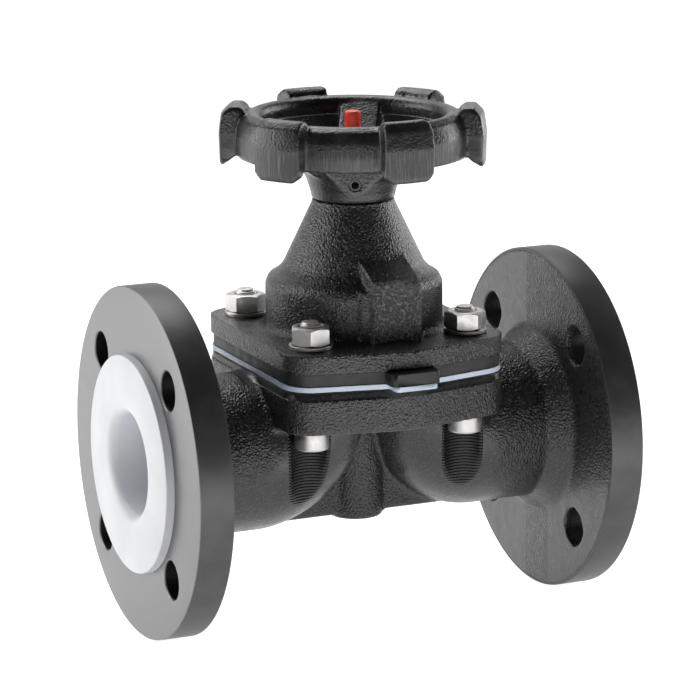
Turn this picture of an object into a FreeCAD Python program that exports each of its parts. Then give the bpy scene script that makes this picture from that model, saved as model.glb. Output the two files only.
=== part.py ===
import FreeCAD, Part
import math
import os

V = FreeCAD.Vector
os.makedirs("parts", exist_ok=True)

# Lined weir-type diaphragm valve, DN 50, with flanged ends and a handwheel.
# Millimetres. Every piece is drawn about the stem axis, with the pipe axis at
# height zero, and save() then sets the origin at the centre of the inlet face.
# X runs from inlet to outlet, Z up the stem.

# Pipe ends
FACE_TO_FACE = 230.0
FLANGE_D = 165.0
FLANGE_THICK = 16.5
FLANGE_CHAMFER = 1.0
BOLT_EDGE = 20.0
BOLT_HOLE_D = 18.0
BOLT_COUNT = 4
FACING_TO_HOLE = 2.5
FACING_THICK = 4.2
HUB_ROOT_INSET = 6.0
HUB_ROOT_LENGTH = 10.0
BORE_D = 48.0
LINER_WALL = 3.5
LINER_FIT = 0.2

# Flow passage and weir
BORE_STRAIGHT = 58.0
BORE_DEPTH = 16.0
BORE_STEP = 0.2
BEND_PIVOT_Z = 18.0
PORT_OUTER_X = 37.0
PORT_INNER_X = 14.5
PORT_HALF_WIDTH = 31.0
WEIR_CREST_Z = 24.5
WEIR_SADDLE_R = 45.9
WEIR_CREST_R = 19.6
WEIR_HALF_LENGTH = 17.0
CHAMBER_HALF_X = 30.0
CHAMBER_HALF_Y = 33.0

# Body casting
CAST_WALL = 13.7
CAST_WALL_AT_SEAT = 7.0
WEB_THICK = 12.0
WEB_BOTTOM_Z = -35.5
WEB_HALF_LENGTH = 40.0
BOSS_D = 25.6
BOSS_BOTTOM_Z = -37.2
BODY_FLANGE_BOTTOM_Z = 18.5
BODY_FLANGE_THICK = 16.5
SEAT_LIP = 2.0
SEAT_LIP_INSET = 0.8
POCKET_D = 19.0

# Outline of the clamped flanges: straight sides, obtuse nose at front and back
CLAMP_HALF_X = 55.0
CLAMP_CORNER_Y = 54.5
CLAMP_NOSE_Y = 66.0
CLAMP_CORNER_R = 15.0
CLAMP_NOSE_R = 60.0

# Clamped stack
LINER_SEAT = 2.0
SEAT_RIM = 3.6
FACE_THICK = 2.3
FACE_INSET = 0.6
BACKING_THICK = 5.7
BACKING_INSET = 1.2
TAB_WIDTH = 24.0
TAB_REACH = 6.5
FACE_TAB_WIDTH = 21.0
TAB_CORNER_R = 2.5
DOME_R = 34.0
DOME_RISE = 5.5

# Bonnet
BONNET_FLANGE_THICK = 9.0
DRUM_D = 83.4
DRUM_HEIGHT = 22.0
SHOULDER_R = 5.0
CONE_BASE_D = 67.0
CONE_TOP_D = 38.8
CONE_HEIGHT = 29.6
SHOULDER_RISE = 7.0
BONNET_NOSE = 1.4
CHAMBER_D = 59.0
CHAMBER_MOUTH_D = 69.0
CHAMBER_MOUTH_HEIGHT = 6.0
CHAMBER_HEIGHT = 31.0
GUIDE_SLOT_R = 33.2
PAD_WIDTH = 24.0
PAD_CENTRE_X = 2.0
PAD_FRONT_Y = 46.0
PAD_FRONT_HEIGHT = 27.0
PAD_BACK_Y = 26.0
PAD_BACK_HEIGHT = 37.5
FOOT_FILLET = 3.0
SPOT_FACE_D = 21.0

# Bonnet screws, nuts and washers (M10)
SCREW_PITCH_X = 78.0
SCREW_PITCH_Y = 79.0
SCREW_D = 10.0
SCREW_LENGTH = 50.0
SCREW_HOLE_D = 11.0
SCREW_HEAD_D = 16.0
SCREW_HEAD_HEIGHT = 10.0
SCREW_SOCKET_AF = 8.0
SCREW_SOCKET_DEPTH = 5.0
NUT_AF = 17.0
NUT_HEIGHT = 8.4
WASHER_D = 20.0
WASHER_THICK = 2.0

# Stem train
TRAVEL = 20.0
RUNNING_GAP = 0.05
STANDING_GAP = 0.3
SPINDLE_D = 14.0
SPINDLE_LENGTH = 61.0
SPINDLE_COLLAR_D = 19.0
SPINDLE_COLLAR_THICK = 3.0
SPINDLE_SOCKET = 12.0
BUSH_D = 24.0
BUSH_COLLAR_D = 33.6
BUSH_COLLAR_THICK = 4.7
BUSH_STICK_OUT = 12.0
THRUST_WASHER_THICK = 1.5
RETAINING_RING_THICK = 1.5
RETAINING_RING_WALL = 4.2
RING_GROOVE_DEPTH = 1.3
BUSH_SHOULDER_BELOW_TOP = 23.5
O_RING_SECTION = 2.0
BUSH_O_RING_BELOW_TOP = 8.0
SPINDLE_O_RING_ABOVE_COLLAR = 2.3

# Compressor and what it holds
COMPRESSOR_D = 52.0
COMPRESSOR_PRESS_HEIGHT = 11.5
COMPRESSOR_ACROSS_R = 37.9
COMPRESSOR_ALONG_R = 27.0
CROSSHEAD_D = 40.0
CROSSHEAD_HEIGHT = 9.5
EAR_REACH = 32.9
EAR_WIDTH = 10.0
EAR_HEIGHT = 6.0
COMPRESSOR_PIN_D = 4.0
STUD_D = 6.0
STUD_LENGTH = 8.0
STUD_HEAD_D = 13.0
STUD_HEAD_THICK = 2.0
STUD_HEAD_COVER = 2.0

# Handwheel
WHEEL_RIM_TOP_Z = 157.3
RIM_HEIGHT = 20.5
RIM_OUTER_R = 54.5
RIM_CROWN = 7.0
RIM_WALL = 3.6
RIM_INNER_LIP = 8.8
LOBE_COUNT = 6
LOBE_REACH = 8.0
LOBE_HALF_ANGLE = 11.5
LOBE_RISE = 2.9
LOBE_DROP = 4.8
LOBE_CORNER = 4.0
LOBE_WALL = 3.0
LOBE_FIRST_ANGLE = -88.5
SPOKE_COUNT = 3
SPOKE_WIDTH = 19.0
SPOKE_FIRST_ANGLE = 61.5
WHEEL_HUB_GAP = 0.3
HUB_FOOT_D = 38.8
HUB_CUP_D = 30.0
HUB_CUP_FLOOR = 14.0
HUB_HEIGHT = 25.0
HUB_FLAT_DISTANCE = 20.5
HUB_PIN_D = 5.6
HUB_PIN_WALL = 1.1
HUB_PIN_HEIGHT = 9.0
HUB_PIN_ANGLE = -111.0
INDICATOR_D = 7.6
INDICATOR_SHOWS_CLOSED = 8.7
INDICATOR_STUB_D = 5.0
INDICATOR_STUB_LENGTH = 9.0

# Levels worked out from the sizes above
bore_r = BORE_D / 2
passage_r = bore_r - BORE_STEP
face_x = FACE_TO_FACE / 2
flange_face_x = face_x - FACING_THICK
flange_back_x = flange_face_x - FLANGE_THICK
bend_x = face_x - BORE_STRAIGHT
bolt_circle_r = FLANGE_D / 2 - BOLT_EDGE
facing_r = bolt_circle_r - BOLT_HOLE_D / 2 - FACING_TO_HOLE
hub_root_r = facing_r - HUB_ROOT_INSET
body_top_z = BODY_FLANGE_BOTTOM_Z + BODY_FLANGE_THICK + SEAT_LIP
seat_z = body_top_z + LINER_SEAT
face_top_z = seat_z + FACE_THICK
bonnet_z = face_top_z + BACKING_THICK
bonnet_flange_top_z = bonnet_z + BONNET_FLANGE_THICK
drum_top_z = bonnet_flange_top_z + DRUM_HEIGHT
cone_base_z = drum_top_z + SHOULDER_RISE
bonnet_top_z = cone_base_z + CONE_HEIGHT + BONNET_NOSE
bush_shoulder_z = bonnet_top_z - BUSH_SHOULDER_BELOW_TOP
bush_collar_top_z = bush_shoulder_z - THRUST_WASHER_THICK
bush_collar_z = bush_collar_top_z - BUSH_COLLAR_THICK
lower_washer_z = bush_collar_z - THRUST_WASHER_THICK
retaining_ring_z = lower_washer_z - RETAINING_RING_THICK
wheel_foot_z = bonnet_top_z + WHEEL_HUB_GAP
bush_top_z = wheel_foot_z + BUSH_STICK_OUT
backing_crown_z = bonnet_z + DOME_RISE
compressor_z = backing_crown_z + STANDING_GAP
crosshead_z = compressor_z + COMPRESSOR_PRESS_HEIGHT
compressor_top_z = crosshead_z + CROSSHEAD_HEIGHT
spindle_z = compressor_top_z - SPINDLE_SOCKET
spindle_top_z = spindle_z + SPINDLE_LENGTH
stud_top_z = compressor_z + STUD_LENGTH
indicator_top_z = bush_top_z + TRAVEL + INDICATOR_SHOWS_CLOSED
saddle_axis_z = WEIR_CREST_Z + WEIR_SADDLE_R
screw_top_z = BODY_FLANGE_BOTTOM_Z + SCREW_LENGTH
stem_bore_r = SPINDLE_D / 2 + RUNNING_GAP
housing_bore_r = BUSH_COLLAR_D / 2 + STANDING_GAP
rim_ridge_r = RIM_OUTER_R - RIM_CROWN
lobe_outer_r = RIM_OUTER_R + LOBE_REACH
hub_foot_r = HUB_FOOT_D / 2
screw_places = [(sx * SCREW_PITCH_X / 2, sy * SCREW_PITCH_Y / 2) for sx in (-1, 1) for sy in (-1, 1)]


def save(name, shape):
    """Write one piece, moved so that the origin is the centre of the inlet face."""
    piece = shape.copy()
    piece.translate(V(face_x, 0, 0))
    piece.exportStep("parts/%s.step" % name)
    solids = len(piece.Solids)
    print("%-24s solids %d valid %s volume %.1f" % (name, solids, piece.isValid(), piece.Volume))


def disc(radius, z_low, z_high, x=0.0, y=0.0):
    return Part.makeCylinder(radius, z_high - z_low, V(x, y, z_low))


def tube(r_out, r_in, z_low, z_high):
    return disc(r_out, z_low, z_high).cut(disc(r_in, z_low - 1, z_high + 1))


def along_pipe(radius, x_low, x_high):
    return Part.makeCylinder(radius, x_high - x_low, V(x_low, 0, 0), V(1, 0, 0))


def box(x_low, x_high, y_low, y_high, z_low, z_high):
    return Part.makeBox(x_high - x_low, y_high - y_low, z_high - z_low, V(x_low, y_low, z_low))


def turned(points, angle=360.0, start=0.0):
    """Solid of revolution about the stem axis from (radius, z) points."""
    profile = Part.makePolygon([V(r, 0, z) for r, z in points + points[:1]])
    solid = Part.Face(profile).revolve(V(0, 0, 0), V(0, 0, 1), angle)
    if start:
        solid.rotate(V(0, 0, 0), V(0, 0, 1), start)
    return solid


def rounded_wire(corners):
    """Closed outline at z = 0 from (x, y, corner radius), with tangent arcs."""
    edges = []
    ends = []
    count = len(corners)
    for i, (x, y, radius) in enumerate(corners):
        here = V(x, y, 0)
        before = V(*corners[i - 1][:2], 0)
        after = V(*corners[(i + 1) % count][:2], 0)
        back = (before - here).normalize()
        ahead = (after - here).normalize()
        half = back.getAngle(ahead) / 2
        if radius <= 0:
            ends.append((here, here))
            continue
        step = radius / math.tan(half)
        middle = (back + ahead).normalize() * (radius / math.sin(half))
        inner = middle.normalize() * (radius / math.sin(half) - radius)
        ends.append((here + back * step, here + ahead * step))
        edges.append(Part.Arc(ends[-1][0], here + inner, ends[-1][1]).toShape())
    for i in range(count):
        a, b = ends[i][1], ends[(i + 1) % count][0]
        if a.distanceToPoint(b) > 1e-6:
            edges.append(Part.LineSegment(a, b).toShape())
    return Part.Wire(Part.__sortEdges__(edges))


def plate(corners, z_low, z_high):
    solid = Part.Face(rounded_wire(corners)).extrude(V(0, 0, z_high - z_low))
    solid.translate(V(0, 0, z_low))
    return solid


def clamp_plate(inset, z_low, z_high):
    """The outline that body, liner, diaphragm and bonnet share, drawn in by inset."""
    x = CLAMP_HALF_X - inset
    y = CLAMP_CORNER_Y - inset
    nose = CLAMP_NOSE_Y - inset
    corner_r = CLAMP_CORNER_R - inset
    corners = [(-x, -y, corner_r), (0, -nose, CLAMP_NOSE_R), (x, -y, corner_r),
               (x, y, corner_r), (0, nose, CLAMP_NOSE_R), (-x, y, corner_r)]
    return plate(corners, z_low, z_high)


def front_tab(width, inset, z_low, z_high):
    """Finger tab at the middle of the front edge of a clamped sheet."""
    front = CLAMP_NOSE_Y - inset + TAB_REACH
    corners = [(-width / 2, -front, TAB_CORNER_R), (width / 2, -front, TAB_CORNER_R),
               (width / 2, -CLAMP_CORNER_Y, 0), (-width / 2, -CLAMP_CORNER_Y, 0)]
    return plate(corners, z_low, z_high)


def screw_holes(z_low, z_high):
    return [disc(SCREW_HOLE_D / 2, z_low, z_high, x, y) for x, y in screw_places]


def oval_section(centre, up, half_height, half_width, power):
    """Closed smooth oval across the passage: up is its own upward direction."""
    points = []
    steps = 16
    for i in range(steps):
        a = 2 * math.pi * i / steps
        c, s = math.cos(a), math.sin(a)
        along = math.copysign(abs(c) ** (2 / power), c) * half_height
        across = math.copysign(abs(s) ** (2 / power), s) * half_width
        points.append(centre + up * along + V(0, across, 0))
    curve = Part.BSplineCurve()
    curve.interpolate(Points=points, PeriodicFlag=True)
    return Part.Wire(curve.toShape())


def arm(grow, grow_at_seat, reach):
    """One arm of the flow passage: a straight run, then the bend up to its port.

    grow is the wall added round the bare passage at the pipe, grow_at_seat the
    wall added to its width where it meets the seat, and reach how far from the
    stem axis the straight run starts.
    """
    sweep_r = passage_r + BEND_PIVOT_Z
    knee_x = (bend_x + PORT_OUTER_X) / 2
    shares = (0.0, 0.28, 0.56, 0.83, 1.0)
    powers = (2.0, 2.05, 2.25, 2.6, 2.8)
    widening = (0.0, 0.0, 0.1, 0.64, 1.0)
    sections = []
    for share, power, wider in zip(shares, powers, widening):
        rest = 1 - share
        turn = share * math.pi / 2
        low = V(-bend_x + sweep_r * math.sin(turn), 0, BEND_PIVOT_Z - sweep_r * math.cos(turn))
        high = V(-(rest ** 2 * bend_x + 2 * share * rest * knee_x + share ** 2 * PORT_OUTER_X), 0,
                 rest ** 2 * passage_r + 2 * share * rest * passage_r + share ** 2 * seat_z)
        if share == 1.0:
            low = V(-PORT_INNER_X, 0, seat_z)
        up = (high - low).normalize()
        half_height = (high - low).Length / 2 + grow
        centre = (high + low) * 0.5
        if share == 1.0:
            centre = centre + V(0, 0, FACE_THICK)
        half_width = passage_r + grow + (PORT_HALF_WIDTH - passage_r + grow_at_seat - grow) * wider
        sections.append(oval_section(centre, up, half_height, half_width, power))
    run = Part.Face(sections[0]).extrude(V(bend_x - reach, 0, 0))
    return run.fuse(Part.makeLoft(sections, True, False))


def weir_gap(grow):
    """The space over the weir: a saddle across the pipe with a rounded crest."""
    half_length = WEIR_HALF_LENGTH - min(grow, LINER_WALL)
    crest_r = WEIR_CREST_R - grow
    centre_r = WEIR_SADDLE_R + WEIR_CREST_R
    side_r = centre_r - math.sqrt(crest_r ** 2 - half_length ** 2)
    left = V(-half_length, 0, saddle_axis_z - side_r)
    right = V(half_length, 0, saddle_axis_z - side_r)
    crest = V(0, 0, saddle_axis_z - centre_r + crest_r)
    top_left = V(left.x, 0, saddle_axis_z)
    top_right = V(right.x, 0, saddle_axis_z)
    edges = [Part.LineSegment(top_left, left).toShape(), Part.Arc(left, crest, right).toShape(),
             Part.LineSegment(right, top_right).toShape(), Part.LineSegment(top_right, top_left).toShape()]
    saddle = Part.Face(Part.Wire(edges)).revolve(V(0, 0, saddle_axis_z), V(1, 0, 0), 360)
    oval = Part.Ellipse(V(0, 0, 0), CHAMBER_HALF_Y + grow, CHAMBER_HALF_X + grow).toShape()
    oval.rotate(V(0, 0, 0), V(0, 0, 1), 90)
    well = Part.Face(Part.Wire(oval)).extrude(V(0, 0, seat_z + FACE_THICK))
    return saddle.common(well)


def mirrored_x(shape):
    return shape.mirror(V(0, 0, 0), V(1, 0, 0))


def passage(grow):
    """The whole flow space, with a wall of grow added round it."""
    half = arm(grow, grow, face_x + 1)
    return half.fuse([mirrored_x(half), weir_gap(grow)]).removeSplitter()


def valve_body():
    flange = Part.makeCylinder(FLANGE_D / 2, FLANGE_THICK, V(-flange_face_x, 0, 0), V(1, 0, 0))
    rims = [e for e in flange.Edges if abs(e.BoundBox.YLength - FLANGE_D) < 0.1 and e.BoundBox.XLength < 0.1]
    flange = flange.makeChamfer(FLANGE_CHAMFER, rims)
    neck_r = bore_r + CAST_WALL
    root = Part.makeCone(hub_root_r, neck_r - 0.1, HUB_ROOT_LENGTH, V(-flange_back_x, 0, 0), V(1, 0, 0))
    end = [flange, root, arm(CAST_WALL, CAST_WALL_AT_SEAT, flange_back_x + 1)]
    plate_z = BODY_FLANGE_BOTTOM_Z
    cast_top_z = plate_z + BODY_FLANGE_THICK
    top = clamp_plate(0, plate_z, cast_top_z)
    lip = clamp_plate(SEAT_LIP_INSET, cast_top_z, seat_z)
    recess = clamp_plate(SEAT_LIP_INSET + SEAT_RIM, body_top_z, seat_z + 1)
    web = box(-WEB_HALF_LENGTH, WEB_HALF_LENGTH, -WEB_THICK / 2, WEB_THICK / 2, WEB_BOTTOM_Z, plate_z + 1)
    boss = disc(BOSS_D / 2, BOSS_BOTTOM_Z, plate_z + 1)
    casting = top.fuse(end + [mirrored_x(piece) for piece in end] + [lip, web, boss])
    machined_x = CLAMP_HALF_X + 1.5
    above = box(-machined_x, machined_x, -FLANGE_D / 2, FLANGE_D / 2, seat_z, FLANGE_D)
    casting = casting.cut(above).cut(recess)
    tools = [passage(LINER_WALL + LINER_FIT)]
    for i in range(BOLT_COUNT):
        a = math.pi * (2 * i + 1) / BOLT_COUNT
        y, z = bolt_circle_r * math.cos(a), bolt_circle_r * math.sin(a)
        for side in (-1, 1):
            start = V(side * (flange_face_x + 1), y, z)
            tools.append(Part.makeCylinder(BOLT_HOLE_D / 2, FLANGE_THICK + HUB_ROOT_LENGTH, start, V(-side, 0, 0)))
    tools += screw_holes(plate_z - 1, body_top_z + 1)
    tools += [disc(POCKET_D / 2, -2 * neck_r, plate_z, x, y) for x, y in screw_places]
    return casting.cut(tools).removeSplitter()


def body_liner():
    skin = passage(LINER_WALL)
    inside = box(-flange_face_x, flange_face_x, -FLANGE_D, FLANGE_D, -FLANGE_D, body_top_z)
    seat = clamp_plate(SEAT_LIP_INSET + SEAT_RIM + LINER_FIT, body_top_z, seat_z)
    facings = [along_pipe(facing_r, -face_x, -flange_face_x), along_pipe(facing_r, flange_face_x, face_x)]
    liner = skin.common(inside).fuse([seat] + facings)
    bores = [along_pipe(bore_r, -face_x - 1, BORE_DEPTH - face_x), along_pipe(bore_r, face_x - BORE_DEPTH, face_x + 1)]
    return liner.cut([passage(0)] + bores + screw_holes(body_top_z - 1, seat_z + 1)).removeSplitter()


def dome(z_low, thick):
    """Round crown of a diaphragm sheet, moulded in the open shape."""
    count = 8
    low, high = [], []
    for i in range(count + 1):
        r = DOME_R * i / count
        rise = DOME_RISE * (1 - (i / count) ** 2) ** 2
        low.append(V(r, 0, z_low + rise))
        high.append(V(r, 0, z_low + thick + rise))
    edges = []
    for line in (low, high):
        curve = Part.BSplineCurve()
        curve.interpolate(Points=line, InitialTangent=V(1, 0, 0), FinalTangent=V(1, 0, 0))
        edges.append(curve.toShape())
    edges.append(Part.LineSegment(low[-1], high[-1]).toShape())
    edges.append(Part.LineSegment(low[0], high[0]).toShape())
    return Part.Face(Part.Wire(Part.__sortEdges__(edges))).revolve(V(0, 0, 0), V(0, 0, 1), 360)


def sheet(inset, tab_width, z_low, thick):
    rim = clamp_plate(inset, z_low, z_low + thick).fuse(front_tab(tab_width, inset, z_low, z_low + thick))
    rim = rim.cut([disc(DOME_R, z_low - 1, z_low + thick + 1)] + screw_holes(z_low - 1, z_low + thick + 1))
    return rim.fuse(dome(z_low, thick)).removeSplitter()


def diaphragm_stud():
    head_top_z = backing_crown_z - STUD_HEAD_COVER
    head = disc(STUD_HEAD_D / 2, head_top_z - STUD_HEAD_THICK, head_top_z)
    return head.fuse(disc(STUD_D / 2, head_top_z - 0.5, stud_top_z)).removeSplitter()


def bonnet():
    drum_r = DRUM_D / 2
    base_r = CONE_BASE_D / 2
    top_r = CONE_TOP_D / 2
    outer = turned([(0, bonnet_z), (drum_r, bonnet_z), (drum_r, drum_top_z - SHOULDER_R * 0.3),
                    (drum_r - SHOULDER_R * 0.3, drum_top_z + SHOULDER_R * 0.35),
                    (drum_r - SHOULDER_R, drum_top_z + SHOULDER_R * 0.75),
                    (base_r, cone_base_z), (top_r, bonnet_top_z - BONNET_NOSE), (top_r, bonnet_top_z),
                    (0, bonnet_top_z)])
    flange = clamp_plate(0, bonnet_z, bonnet_flange_top_z)
    foot = turned([(0, bonnet_flange_top_z - 1), (drum_r + FOOT_FILLET, bonnet_flange_top_z - 1),
                   (drum_r + FOOT_FILLET, bonnet_flange_top_z),
                   (drum_r + FOOT_FILLET * 0.3, bonnet_flange_top_z + FOOT_FILLET * 0.3),
                   (drum_r, bonnet_flange_top_z + FOOT_FILLET), (0, bonnet_flange_top_z + FOOT_FILLET)])
    pad_side = Part.makePolygon([V(0, -PAD_FRONT_Y, bonnet_flange_top_z - 1),
                                 V(0, -PAD_FRONT_Y, bonnet_flange_top_z + PAD_FRONT_HEIGHT),
                                 V(0, -PAD_BACK_Y, bonnet_flange_top_z + PAD_BACK_HEIGHT),
                                 V(0, -PAD_BACK_Y, bonnet_flange_top_z - 1),
                                 V(0, -PAD_FRONT_Y, bonnet_flange_top_z - 1)])
    pad = Part.Face(pad_side).extrude(V(PAD_WIDTH, 0, 0))
    pad.translate(V(PAD_CENTRE_X - PAD_WIDTH / 2, 0, 0))
    shell = outer.fuse([flange, foot, pad])
    mouth = Part.makeCone(CHAMBER_MOUTH_D / 2, CHAMBER_D / 2, CHAMBER_MOUTH_HEIGHT, V(0, 0, bonnet_z))
    chamber_top_z = bonnet_z + CHAMBER_HEIGHT
    groove_r = housing_bore_r + RING_GROOVE_DEPTH
    tools = [mouth, disc(CHAMBER_D / 2, bonnet_z, chamber_top_z),
             disc(housing_bore_r, chamber_top_z - 1, bush_shoulder_z),
             disc(groove_r, retaining_ring_z, lower_washer_z),
             disc(BUSH_D / 2 + RUNNING_GAP, bush_shoulder_z - 1, bonnet_top_z + 1),
             disc(BUSH_D / 2 + O_RING_SECTION + STANDING_GAP,
                  bonnet_top_z - BUSH_O_RING_BELOW_TOP - O_RING_SECTION - STANDING_GAP,
                  bonnet_top_z - BUSH_O_RING_BELOW_TOP + STANDING_GAP)]
    slot = EAR_WIDTH / 2 + STANDING_GAP
    slots = box(-GUIDE_SLOT_R, GUIDE_SLOT_R, -slot, slot, bonnet_z, chamber_top_z)
    tools.append(slots.common(disc(GUIDE_SLOT_R, bonnet_z, chamber_top_z)))
    tools += screw_holes(bonnet_z - 1, bonnet_flange_top_z + FOOT_FILLET + 1)
    tools += [disc(SPOT_FACE_D / 2, bonnet_flange_top_z, cone_base_z, x, y) for x, y in screw_places]
    return shell.cut(tools).removeSplitter()


def threaded_bush():
    bush = disc(BUSH_D / 2, bush_collar_z, bush_top_z)
    bush = bush.fuse(disc(BUSH_COLLAR_D / 2, bush_collar_z, bush_collar_top_z))
    ring_z = bush_collar_z + SPINDLE_O_RING_ABOVE_COLLAR
    groove = disc(SPINDLE_D / 2 + O_RING_SECTION + STANDING_GAP, ring_z - STANDING_GAP,
                  ring_z + O_RING_SECTION + STANDING_GAP)
    bore = disc(stem_bore_r, bush_collar_z - 1, bush_top_z + 1)
    return bush.cut([bore, groove, hub_pin_space(HUB_PIN_D / 2)]).removeSplitter()


def thrust_washer(z_low):
    inner = BUSH_D / 2 + STANDING_GAP if z_low > bush_collar_z else SPINDLE_COLLAR_D / 2 + STANDING_GAP
    return tube(BUSH_COLLAR_D / 2, inner, z_low, z_low + THRUST_WASHER_THICK)


def retaining_ring():
    outer = housing_bore_r + RING_GROOVE_DEPTH
    ring = tube(outer, outer - RETAINING_RING_WALL, retaining_ring_z, lower_washer_z)
    gap = box(0, outer + 1, -RETAINING_RING_WALL, RETAINING_RING_WALL, retaining_ring_z - 1, lower_washer_z + 1)
    ears = []
    for side in (-1, 1):
        ear = disc(RETAINING_RING_WALL * 0.6, retaining_ring_z, lower_washer_z,
                   outer - RETAINING_RING_WALL, side * RETAINING_RING_WALL * 1.3)
        ears.append(ear)
    hole = [disc(0.9, retaining_ring_z - 1, lower_washer_z + 1, outer - RETAINING_RING_WALL,
                 side * RETAINING_RING_WALL * 1.3) for side in (-1, 1)]
    return ring.cut(gap).fuse(ears).cut(hole).removeSplitter()


def o_ring(inner_r, z_low):
    section_r = O_RING_SECTION / 2
    return Part.makeTorus(inner_r + section_r, section_r, V(0, 0, z_low + section_r))


def spindle():
    rod = disc(SPINDLE_D / 2, spindle_z, spindle_top_z)
    collar = disc(SPINDLE_COLLAR_D / 2, compressor_top_z, compressor_top_z + SPINDLE_COLLAR_THICK)
    socket = disc(INDICATOR_STUB_D / 2, spindle_top_z - INDICATOR_STUB_LENGTH, spindle_top_z + 1)
    rod = rod.fuse(collar)
    ends = [e for e in rod.Edges if abs(e.BoundBox.ZMin - spindle_top_z) < 0.01 and e.BoundBox.ZLength < 0.01]
    rod = rod.makeChamfer(1.0, ends)
    return rod.cut([socket, compressor_pin()]).removeSplitter()


def compressor_pin():
    z = (spindle_z + compressor_top_z) / 2
    length = CROSSHEAD_D - 2
    return Part.makeCylinder(COMPRESSOR_PIN_D / 2, length, V(0, -length / 2, z), V(0, 1, 0))


def compressor():
    """Crowned presser under a crosshead whose two ears slide in the bonnet."""
    across = Part.makeCylinder(COMPRESSOR_ACROSS_R, COMPRESSOR_D, V(-COMPRESSOR_D / 2, 0,
                               compressor_z + COMPRESSOR_ACROSS_R), V(1, 0, 0))
    along = Part.makeCylinder(COMPRESSOR_ALONG_R, COMPRESSOR_D, V(0, -COMPRESSOR_D / 2,
                              compressor_z + COMPRESSOR_ALONG_R), V(0, 1, 0))
    press = disc(COMPRESSOR_D / 2, compressor_z - 1, crosshead_z).common(across).common(along)
    head = disc(CROSSHEAD_D / 2, crosshead_z - 0.5, compressor_top_z)
    ears = box(-EAR_REACH, EAR_REACH, -EAR_WIDTH / 2, EAR_WIDTH / 2, compressor_top_z - EAR_HEIGHT, compressor_top_z)
    ears = ears.common(disc(EAR_REACH, compressor_top_z - EAR_HEIGHT, compressor_top_z))
    body = press.fuse([head, ears])
    socket = disc(SPINDLE_D / 2, spindle_z, compressor_top_z + 1)
    return body.cut([socket, disc(STUD_D / 2, compressor_z - 1, stud_top_z), compressor_pin()]).removeSplitter()


def position_indicator():
    rod = disc(INDICATOR_D / 2, spindle_top_z, indicator_top_z)
    tops = [e for e in rod.Edges if abs(e.BoundBox.ZMin - indicator_top_z) < 0.01 and e.BoundBox.ZLength < 0.01]
    rod = rod.makeFillet(1.0, tops)
    stub = disc(INDICATOR_STUB_D / 2, spindle_top_z - INDICATOR_STUB_LENGTH, spindle_top_z + 0.5)
    return rod.fuse(stub).removeSplitter()


def hub_pin_space(radius):
    """Radial hole through the hub's flat into the bush, for the spring pin."""
    a = math.radians(HUB_PIN_ANGLE)
    outward = V(math.cos(a), math.sin(a), 0)
    inner = stem_bore_r + 1.0
    start = outward * inner + V(0, 0, wheel_foot_z + HUB_PIN_HEIGHT)
    return Part.makeCylinder(radius, HUB_FLAT_DISTANCE - inner - 0.6, start, outward)


def handwheel_pin():
    outer = hub_pin_space(HUB_PIN_D / 2)
    pin = outer.cut(hub_pin_space(HUB_PIN_D / 2 - HUB_PIN_WALL))
    return pin.removeSplitter()


def rim_profile():
    top = WHEEL_RIM_TOP_Z
    foot = top - RIM_HEIGHT
    outer = RIM_OUTER_R
    ridge = rim_ridge_r
    wall = RIM_WALL
    inner = ridge - 5.2
    lip = top - RIM_INNER_LIP
    return [(ridge, top), (outer - 2.2, top - 2.4), (outer - 0.5, top - 7), (outer, top - 14), (outer - 0.5, foot),
            (outer - wall, foot), (outer - wall, top - 12), (outer - wall - 0.8, top - 6.5), (ridge, top - wall),
            (inner + wall * 0.9, top - wall - 1.2), (inner + wall * 0.9, lip), (inner, lip),
            (inner, top - 3.5), (inner + 1.6, top - 0.9)]


def lobe():
    """One hollow grip lobe, centred on the +X side."""
    top = WHEEL_RIM_TOP_Z + LOBE_RISE
    foot = WHEEL_RIM_TOP_Z - RIM_HEIGHT - LOBE_DROP
    out = lobe_outer_r
    start = rim_ridge_r + 2.5
    wall = LOBE_WALL
    deep = RIM_OUTER_R - 1.0
    skin = [(start, top - 2.2), (start + 3, top - 0.2), (out - 5, top), (out - 1.2, top - 3.6), (out, top - 12),
            (out - 0.4, foot + 1.2), (out - 1.6, foot), (deep, foot + LOBE_DROP + 1.5), (deep, top - 8)]
    half = out * math.sin(math.radians(LOBE_HALF_ANGLE))
    corner = LOBE_CORNER
    face = [(-half, foot + corner), (corner - half, foot), (half - corner, foot), (half, foot + corner),
            (half, top - corner * 0.6), (half - corner * 0.6, top), (corner * 0.6 - half, top), (-half, top - corner * 0.6)]
    shape = Part.Face(Part.makePolygon([V(0, y, z) for y, z in face + face[:1]])).extrude(V(out, 0, 0))
    full = turned(skin, 2 * LOBE_HALF_ANGLE, -LOBE_HALF_ANGLE).common(shape)
    pocket = [(deep - 0.5, foot - 1), (out - wall, foot - 1), (out - wall, top - 12),
              (out - wall - 1.5, top - 6.5), (deep - 0.5, top - 6.5)]
    pocket_half = LOBE_HALF_ANGLE - math.degrees(wall / out)
    return full.cut(turned(pocket, 2 * pocket_half, -pocket_half))


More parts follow.
